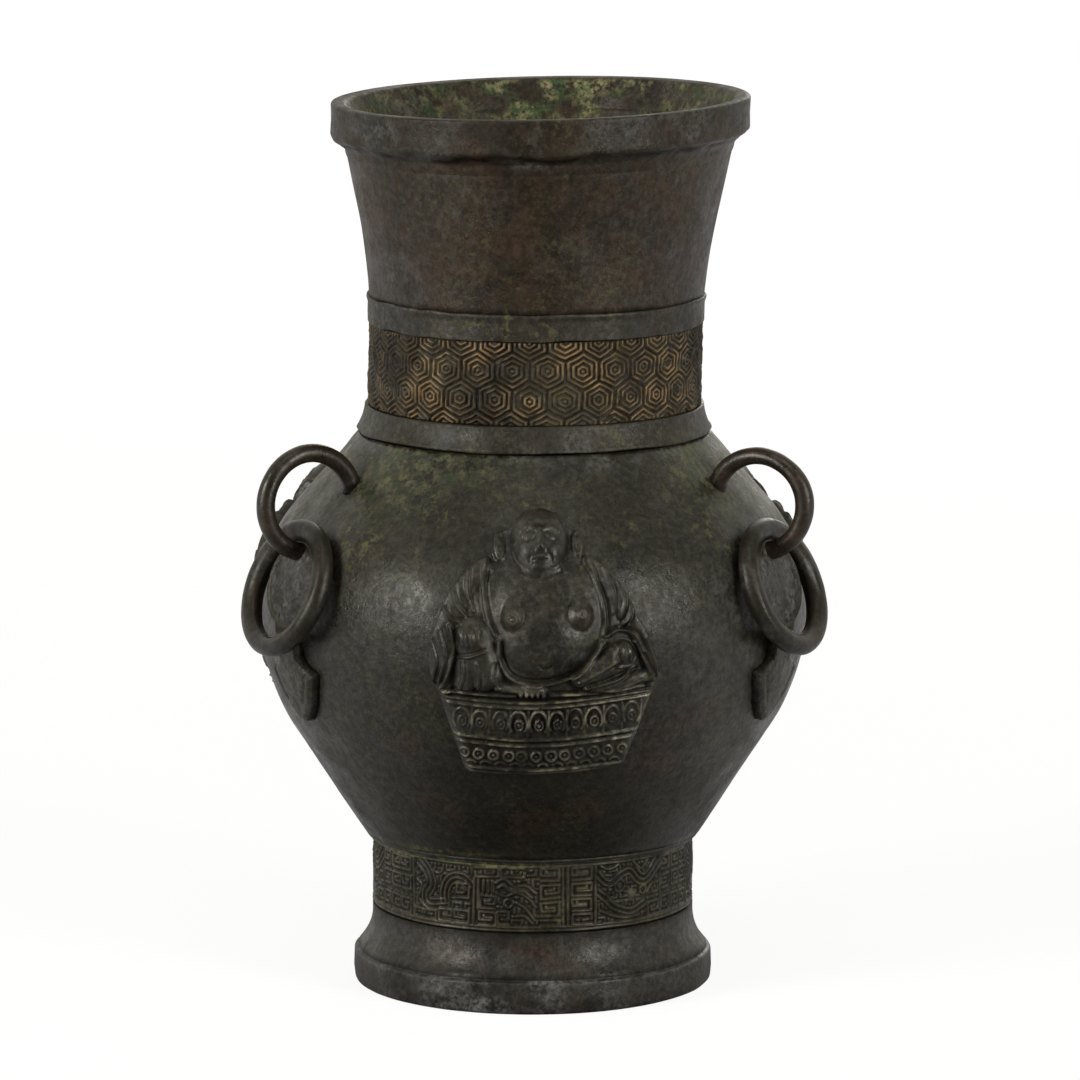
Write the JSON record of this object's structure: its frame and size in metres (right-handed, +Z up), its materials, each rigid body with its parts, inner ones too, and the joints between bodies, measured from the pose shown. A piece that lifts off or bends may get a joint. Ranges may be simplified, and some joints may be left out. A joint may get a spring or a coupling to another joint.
{
  "type": "hu vase",
  "caption": "Cast bronze vase of hu form with flaring neck, applied bands, round belly, ring foot, seated-figure reliefs and loose rings hanging in shoulder loops.",
  "frame": {"origin": "on the vessel's axis, in the plane its foot stands on", "axes": "+Z up the axis; -Y out of the front figure; loops at 30 degrees below +X, 30 below -X and at +Y"},
  "size_m": [0.2084, 0.2189, 0.32],
  "materials": {
    "belly_bronze": "dark brown-olive patina, worn satin",
    "neck_bronze": "dark brown-olive patina, worn satin",
    "foot_bronze": "dark brown-olive patina, worn satin",
    "band_bronze": "dark brown-olive patina, worn satin",
    "hexagon_bronze": "dark brown-olive patina, worn satin",
    "fret_bronze": "dark brown-olive patina, worn satin",
    "handle_bronze": "dark brown-olive patina, worn satin",
    "boss_bronze": "dark brown-olive patina, worn satin",
    "figure_bronze": "dark brown-olive patina, worn satin"
  },
  "bodies": {
    "vessel": {"belly_casting": "belly_bronze", "neck_casting": "neck_bronze", "mouth_rim": "neck_bronze", "foot_casting": "foot_bronze", "base_plate": "foot_bronze", "upper_neck_band": "band_bronze", "neck_collar": "band_bronze", "hexagon_band": "hexagon_bronze", "foot_fret_band": "fret_bronze", "loop_right": "handle_bronze", "loop_rear": "handle_bronze", "loop_left": "handle_bronze", "boss_right": "boss_bronze", "boss_rear": "boss_bronze", "boss_left": "boss_bronze", "figure_front": "figure_bronze", "figure_rear_right": "figure_bronze", "figure_rear_left": "figure_bronze"},
    "ring_right": {"ring_right": "handle_bronze"},
    "ring_rear": {"ring_rear": "handle_bronze"},
    "ring_left": {"ring_left": "handle_bronze"}
  },
  "joints": [
    {"name": "ring_right_swing", "type": "hinge", "parent": "vessel", "child": "ring_right", "pos_m": [0.08053, -0.04649, 0.1714], "axis": [-0.5, -0.866, 0], "range_deg": [0, 194]},
    {"name": "ring_rear_swing", "type": "hinge", "parent": "vessel", "child": "ring_rear", "pos_m": [0, 0.09298, 0.1714], "axis": [1, 0, 0], "range_deg": [0, 194]},
    {"name": "ring_left_swing", "type": "hinge", "parent": "vessel", "child": "ring_left", "pos_m": [-0.08053, -0.04649, 0.1714], "axis": [-0.5, 0.866, 0], "range_deg": [0, 194]}
  ]
}
